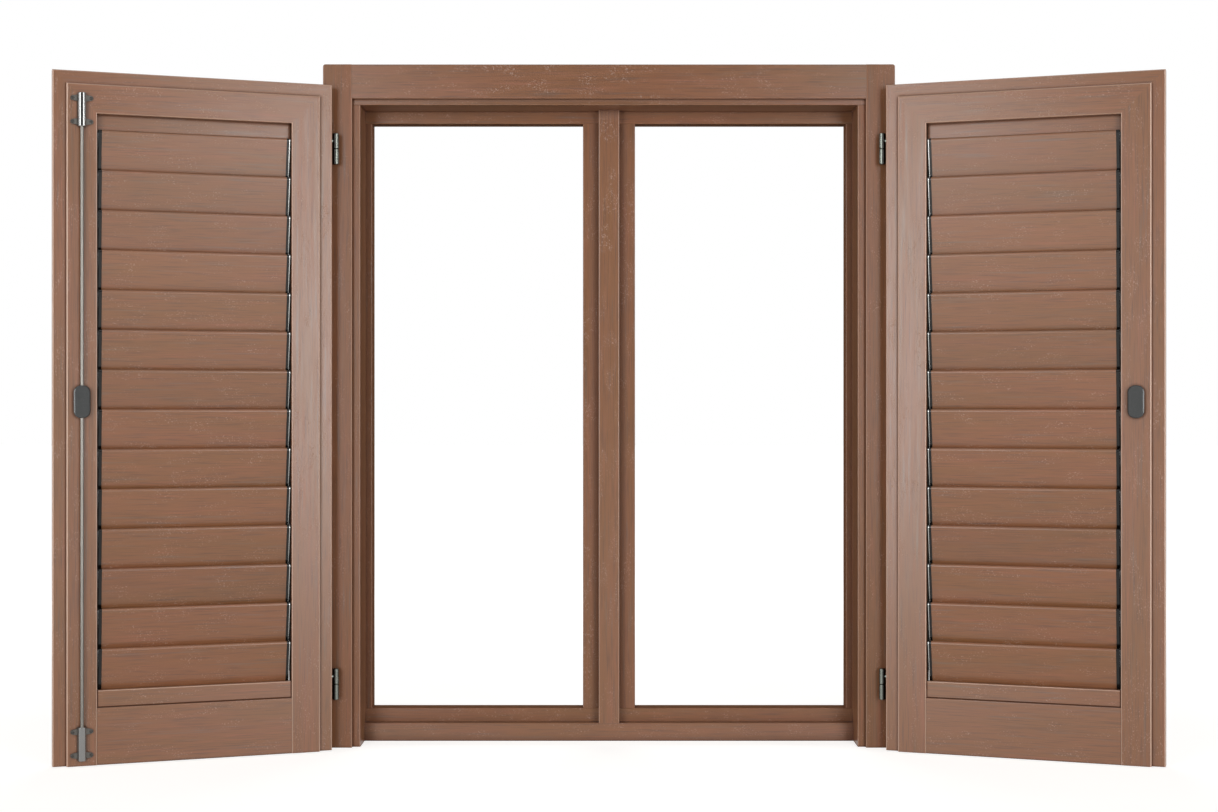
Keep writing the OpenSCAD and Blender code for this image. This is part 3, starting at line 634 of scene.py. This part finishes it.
def join(pieces):
    """Joins pieces into the first of them."""
    bpy.ops.object.select_all(action="DESELECT")
    for piece in pieces:
        piece.select_set(True)
    bpy.context.view_layer.objects.active = pieces[0]
    bpy.ops.object.join()
    return pieces[0]


print("leaf faces look along", {side: [round(v, 3) for v in OUT[side]] for side in SIDES})

# %% [markdown]
# ## Slats and end caps
#
# A slat is a board with rounded edges that turns on pins in its end caps. By the hinge, the cap ends in a
# zinc plate with the crank pin. Board, caps and plate have one outline, so one function makes them all: a block
# whose four long edges are bevelled until they nearly meet. Each board keeps its number as an attribute, from
# which the stain takes its tone.

# %% Slats
SLAT_TILT = math.radians(13)
CAP_T = 6.5 * MM
END_GAP = 3 * MM
CRANK_PLATE_T = 1.4 * MM
CAP_ROUND = 1.6 * MM
CAP_EDGE = 0.1 * MM
CAP_BRUSH = 0.6 * MM
CAP_SEAM = 0.1 * MM
EASED_EDGE = 0.3 * MM
STRIP_T = 8 * MM
PIN_R = 3 * MM
PIN_ROOT = 2 * MM
CRANK_R = 2 * MM
CRANK_ROOT = 1 * MM
CRANK_ARM = 12 * MM
SLAT_T = 10 * MM
SLAT_EDGE_R = 0.49 * SLAT_T
SLAT_LAP = 8 * MM
SLAT_COUNT = 14
EDGE_SEGMENTS = 7
slat_pitch = joints["left_slat_02_tilt"]["pos_m"][2] - joints["left_slat_01_tilt"]["pos_m"][2]
SLAT_CHORD = slat_pitch + SLAT_LAP
BAY = measure("left_top_filler", "left")[1][0]
BOARD_L = BAY - 2 * (END_GAP + CAP_T + CAP_SEAM)


def rounded_bar(name, length, end_bevel, ends=(-1, 1)):
    """A bar along x with the slat's outline, and the named ends rounded off by end_bevel."""
    piece = block(name, (length, SLAT_T, SLAT_CHORD))
    pick(piece, "edges", lambda a, b: abs(a.x - b.x) > length / 2)
    bpy.ops.mesh.bevel(offset=SLAT_EDGE_R, segments=EDGE_SEGMENTS, affect="EDGES")
    for end in ends:
        pick(piece, "edges", lambda a, b: min(a.x * end, b.x * end) > length / 2 - HAIR)
        bpy.ops.mesh.bevel(offset=end_bevel, segments=4, affect="EDGES")
    bpy.ops.object.mode_set(mode="OBJECT")
    return piece


def pin(name, radius, start, end, z):
    """A round pin along x, from start to end, at height z."""
    bpy.ops.object.select_all(action="DESELECT")
    bpy.ops.mesh.primitive_cylinder_add(vertices=20, radius=radius, depth=abs(end - start),
                                        location=((start + end) / 2, 0, z), rotation=(0, math.pi / 2, 0))
    piece = bpy.context.object
    piece.name = name
    bpy.ops.object.transform_apply(location=True, rotation=True)
    return piece


def end_caps(hinge_way):
    """Both caps of a slat with their pivot pins. The outer one carries a thin brush that closes the slit."""
    pieces = []
    for way in (-1, 1):
        reach = -CRANK_PLATE_T if way == hinge_way else CAP_BRUSH
        cap = rounded_bar("cap", CAP_T + reach, CAP_EDGE if way == hinge_way else CAP_ROUND, ends=(way,))
        cap.data.transform(Matrix.Translation((way * (BAY / 2 - END_GAP - (CAP_T - reach) / 2), 0, 0)))
        face = way * (BAY / 2 - END_GAP)
        tip = face + way * (END_GAP + STRIP_T - CAP_SEAM)
        pieces += [cap, pin("pivot", PIN_R, face - way * PIN_ROOT, tip, 0)]
    return join(pieces)


def crank_plate(hinge_way):
    """The plate on the cap by the hinge, with the pin that the tie bar pulls."""
    face = hinge_way * (BAY / 2 - END_GAP)
    tip = face + hinge_way * (END_GAP - CAP_SEAM)
    plate = rounded_bar("plate", CRANK_PLATE_T, EASED_EDGE, ends=(hinge_way,))
    plate.data.transform(Matrix.Translation((face - hinge_way * CRANK_PLATE_T / 2, 0, 0)))
    return join([plate, pin("crank", CRANK_R, face - hinge_way * CRANK_ROOT, tip, -CRANK_ARM)])


slat_timbers = {side: stained_timber(f"{side}_slat_timber", "x", LEAF_TURN[side], tint=LEAF_TINT, slats=True)
                for side in SIDES}
board_model = rounded_bar("board_model", BOARD_L, EASED_EDGE)
for side in SIDES:
    caps_model = end_caps(HINGE_WAY[side])
    plate_model = crank_plate(HINGE_WAY[side])
    for number in range(1, SLAT_COUNT + 1):
        name = f"{side}_slat_{number:02d}"
        pivot = Vector(joints[f"{name}_tilt"]["pos_m"])
        place = on_leaf(side, pivot) @ Matrix.Rotation(SLAT_TILT, 4, "X")
        for model, suffix, material, slot in ((board_model, "board", slat_timbers[side], "slat_timber"),
                                              (caps_model, "caps", cap_plastic, "black_plastic"),
                                              (plate_model, "crank_plate", crank_steel, "tie_steel")):
            piece = bpy.data.objects.new(f"{name}_{suffix}", model.data.copy())
            bpy.context.collection.objects.link(piece)
            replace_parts(settle(piece, place, material, name), name)
            if suffix == "board":
                tag = piece.data.attributes.new("slat_number", "FLOAT", "POINT")
                tag.data.foreach_set("value", [number + 0.5 * HINGE_WAY[side]] * len(piece.data.vertices))
    bpy.data.objects.remove(caps_model)
    bpy.data.objects.remove(plate_model)
bpy.data.objects.remove(board_model)
print("boards", round(BOARD_L / MM, 1), "mm long in a bay of", round(BAY / MM, 1), "mm")

# %% [markdown]
# ## Grips
#
# One grip slides with the bolt rod, the other is a fixed pull. Both are flat oblong castings with large round
# corners and a chamfered rim that catches the side light. A block gets its corners by one bevel and its rim by
# a second one, on the front face's outline only.

# %% Grips
GRIP_CORNER_R = 14 * MM
GRIP_RIM = 2.2 * MM
ROD_BORE_R = 3.55 * MM


def drill(piece, middle, length):
    """Cuts an upright bore for the rod through a piece."""
    bpy.ops.object.select_all(action="DESELECT")
    bpy.ops.mesh.primitive_cylinder_add(vertices=48, radius=ROD_BORE_R, depth=length, location=middle)
    cut_away(piece, bpy.context.object)


def grip(name, node, side, body, bored):
    """An oblong casting with round corners and a chamfered rim, bored for the rod where it slides."""
    middle, (width, depth, height) = measure(node, side)
    piece = block(name, (width, depth, height))
    pick(piece, "edges", lambda a, b: abs(a.y - b.y) > depth / 2)
    bpy.ops.mesh.bevel(offset=GRIP_CORNER_R, segments=10, affect="EDGES")
    pick(piece, "edges", lambda a, b: max(a.y, b.y) < -depth / 2 + HAIR)
    bpy.ops.mesh.bevel(offset=GRIP_RIM, segments=1, affect="EDGES")
    bpy.ops.object.mode_set(mode="OBJECT")
    if bored:
        rod_out = OUT[side].dot(measure("bolt_rod", side)[0] - middle)
        drill(piece, (0, -rod_out, 0), height * 2)
    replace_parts(settle(piece, on_leaf(side, middle), grip_coat, body), node)
    print(name, [round(v / MM, 1) for v in (width, depth, height)], "mm")


grip("sliding_grip", "bolt_grip", "left", "bolt", True)
grip("fixed_pull", "fixed_grip", "right", "right_leaf", False)

# %% [markdown]
# ## Rod guides and their screws
#
# Each guide is a pressed bridge that wraps the rod, on a plate with four tapered ears. The plate is a block
# that is cut across where the ears leave it; those faces are pulled out, narrowed, and their tips rounded by a
# bevel. The bridge has a flat front between round shoulders, so it shows two white lines with a dark band
# between.

# %% Rod guides
GUIDE_L = 67 * MM
GUIDE_W = 17 * MM
GUIDE_T = 3 * MM
BRIDGE_W = 15 * MM
BRIDGE_OVER = 6 * MM
BRIDGE_EDGE_R = 6 * MM
BRIDGE_END_ROUND = 0.8 * MM
EAR_ROOT_H = 12.5 * MM
EAR_TIP_R = 4 * MM
EAR_TIP_ROUND = 0.96 * EAR_TIP_R
EAR_INSET = 10 * MM
guide_middle, (EAR_SPAN, guide_depth, guide_reach) = measure("rod_guides", "left")
ROD_STAND = guide_depth - BRIDGE_OVER
panel_out = OUT["left"].dot(guide_middle) - guide_depth / 2
ear_z = GUIDE_L / 2 - EAR_INSET


def ear_plate(name):
    """Base plate with four tapered ears, its back on the plane y = 0."""
    piece = block(name, (GUIDE_W, GUIDE_T, GUIDE_L))
    half_root = EAR_ROOT_H / 2
    for z in (-ear_z - half_root, -ear_z + half_root, ear_z - half_root, ear_z + half_root):
        bpy.ops.mesh.select_all(action="SELECT")
        bpy.ops.mesh.bisect(plane_co=(0, 0, z), plane_no=(0, 0, 1))
    pull = (EAR_SPAN - GUIDE_W) / 2
    for way in (-1, 1):
        for z in (-ear_z, ear_z):
            pick(piece, "faces", lambda c, n: n.x * way > 0.9 and abs(c.z - z) < half_root / 2)
            bpy.ops.mesh.extrude_region_move(TRANSFORM_OT_translate={"value": (way * pull, 0, 0)})
            bpy.ops.transform.resize(value=(1, 1, 2 * EAR_TIP_R / EAR_ROOT_H), center_override=(0, 0, z))
    tip = EAR_SPAN / 2 - HAIR
    pick(piece, "edges", lambda a, b: min(abs(a.x), abs(b.x)) > tip and abs(a.y - b.y) > GUIDE_T / 2)
    bpy.ops.mesh.bevel(offset=EAR_TIP_ROUND, segments=6, affect="EDGES")
    bpy.ops.object.mode_set(mode="OBJECT")
    piece.data.transform(Matrix.Translation((0, -GUIDE_T / 2, 0)))
    return piece


def bridge(name):
    """A bridge with round shoulders from the plate over the rod, bored for the rod."""
    depth = guide_depth - GUIDE_T / 2
    piece = block(name, (BRIDGE_W, depth, GUIDE_L))
    pick(piece, "edges", lambda a, b: max(a.y, b.y) < 0 and abs(a.z - b.z) > GUIDE_L / 2)
    bpy.ops.mesh.bevel(offset=BRIDGE_EDGE_R, segments=8, affect="EDGES")
    half_l = GUIDE_L / 2 - HAIR
    shoulder = -depth / 2 + BRIDGE_EDGE_R + HAIR
    pick(piece, "edges", lambda a, b: min(abs(a.z), abs(b.z)) > half_l and max(a.y, b.y) < shoulder)
    bpy.ops.mesh.bevel(offset=BRIDGE_END_ROUND, segments=3, affect="EDGES")
    bpy.ops.object.mode_set(mode="OBJECT")
    piece.data.transform(Matrix.Translation((0, -guide_depth + depth / 2, 0)))
    drill(piece, (0, -ROD_STAND, 0), GUIDE_L * 2)
    return piece


# %% Screws, and the guides in their places
SCREW_R = 3.3 * MM
SCREW_H = 1.8 * MM
SCREW_DOME = 1.1 * MM
SLOT_SIZE = (0.9 * MM, 1.2 * MM, 3.6 * MM)
# Radians from one screw's slot to the next one's, and from one guide's to the other's
SCREW_TURN = 0.4
GUIDE_TURN = 0.3


def screw(name, turn):
    """A round-headed screw with a cross slot, its head standing on the plane y = 0."""
    bpy.ops.object.select_all(action="DESELECT")
    bpy.ops.mesh.primitive_cylinder_add(vertices=24, radius=SCREW_R, depth=SCREW_H,
                                        location=(0, -SCREW_H / 2, 0), rotation=(math.pi / 2, 0, 0))
    piece = bpy.context.object
    piece.name = name
    bpy.ops.object.transform_apply(location=True, rotation=True)
    pick(piece, "edges", lambda a, b: max(a.y, b.y) < -SCREW_H + HAIR)
    bpy.ops.mesh.bevel(offset=SCREW_DOME, segments=4, affect="EDGES")
    bpy.ops.object.mode_set(mode="OBJECT")
    for angle in (turn, turn + math.pi / 2):
        slot = block("slot", SLOT_SIZE)
        bpy.ops.object.mode_set(mode="OBJECT")
        slot.data.transform(Matrix.Rotation(angle, 4, "Y") @ Matrix.Translation((0, -SCREW_H, 0)))
        cut_away(piece, slot)
    return piece


for where, way in (("upper", 1), ("lower", -1)):
    seat = guide_middle + OUT["left"] * (panel_out - OUT["left"].dot(guide_middle))
    seat += UP * way * (guide_reach - GUIDE_L) / 2
    place = on_leaf("left", seat)
    plate = settle(ear_plate(f"{where}_guide_plate"), place, plate_steel, "left_leaf")
    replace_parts(plate, "rod_guides")
    pressing = settle(bridge(f"{where}_guide_bridge"), place, guide_steel, "left_leaf")
    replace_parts(pressing, "rod_guides")
    for corner, (x, z) in enumerate([(-1, -1), (1, -1), (-1, 1), (1, 1)]):
        head = screw(f"{where}_guide_screw_{corner + 1}", corner * SCREW_TURN + way * GUIDE_TURN)
        ear = Matrix.Translation((x * (EAR_SPAN / 2 - EAR_TIP_R), -GUIDE_T, z * ear_z))
        settle(head, place @ ear, screw_steel, "left_leaf")
print("guides", round(EAR_SPAN / MM, 1), "mm wide, rod", round(ROD_STAND / MM, 1), "mm off the panel")

# %% [markdown]
# ## Packing blocks behind the mullion
#
# On the room side, the lights' rebates run on past the ends of the mullion's tongue. A small block with eased
# edges fills each end, as a joiner would pack it. Its sizes are what the mullion and the light frames leave
# over.

# %% Packing blocks
PACKER_EDGE = 0.8 * MM
mullion_low, mullion_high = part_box("mullion")
light_low, light_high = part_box("left_light_frame")
tongue = max(vertex.co.x for vertex in nodes["mullion"].data.vertices if vertex.co.y > mullion_high.y - MM)
pack_depth = mullion_high.y - light_low.y
for where, foot, top in (("upper", mullion_high.z, light_high.z), ("lower", light_low.z, mullion_low.z)):
    packer = block(f"{where}_packer", (2 * tongue, pack_depth, top - foot))
    pick(packer, "edges", lambda a, b: min(a.y, b.y) > pack_depth / 2 - HAIR)
    bpy.ops.mesh.bevel(offset=PACKER_EDGE, segments=2, affect="EDGES")
    place = Matrix.Translation((0, mullion_high.y - pack_depth / 2, (foot + top) / 2))
    settle(packer, place, nodes["mullion"].material_slots[0].material, "frame")
    print(packer.name, [round(v / MM, 1) for v in (2 * tongue, pack_depth, top - foot)], "mm")
